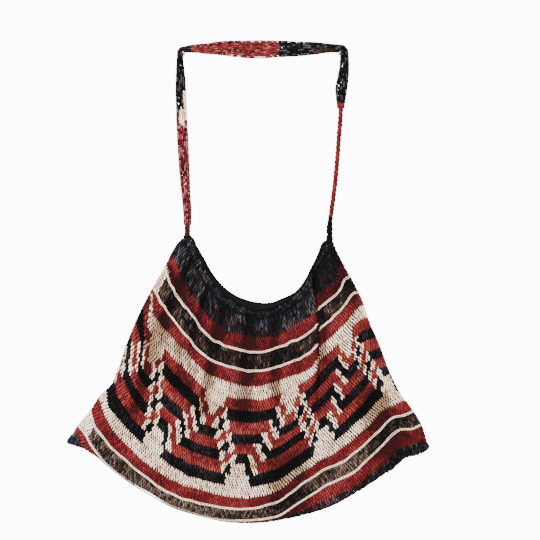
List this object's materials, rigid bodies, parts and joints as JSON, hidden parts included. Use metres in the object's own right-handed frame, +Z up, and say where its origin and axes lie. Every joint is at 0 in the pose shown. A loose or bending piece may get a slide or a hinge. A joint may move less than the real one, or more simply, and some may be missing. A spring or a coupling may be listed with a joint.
{
  "type": "looped string bag hanging on two wall pins",
  "caption": "Hand-looped wool string bag, an open-mouthed pouch flaring to a curved base, hung by its band strap over plain wall pins.",
  "frame": {"origin": "on the wall's surface, halfway between the two pins", "axes": "+X to the right as seen from the front, +Z up, +Y into the wall, so the bag hangs on the -Y side"},
  "size_m": [0.578, 0.0335, 0.7749],
  "materials": {
    "looped_body": "matte hand-looped wool in rows of black, brick red, cream and brown",
    "looped_strap": "matte hand-looped wool, red and black",
    "pin_metal": "dull brass"
  },
  "bodies": {
    "root": {"bag_body": "looped_body", "strap": "looped_strap", "pin_left": "pin_metal", "pin_right": "pin_metal"}
  },
  "joints": []
}
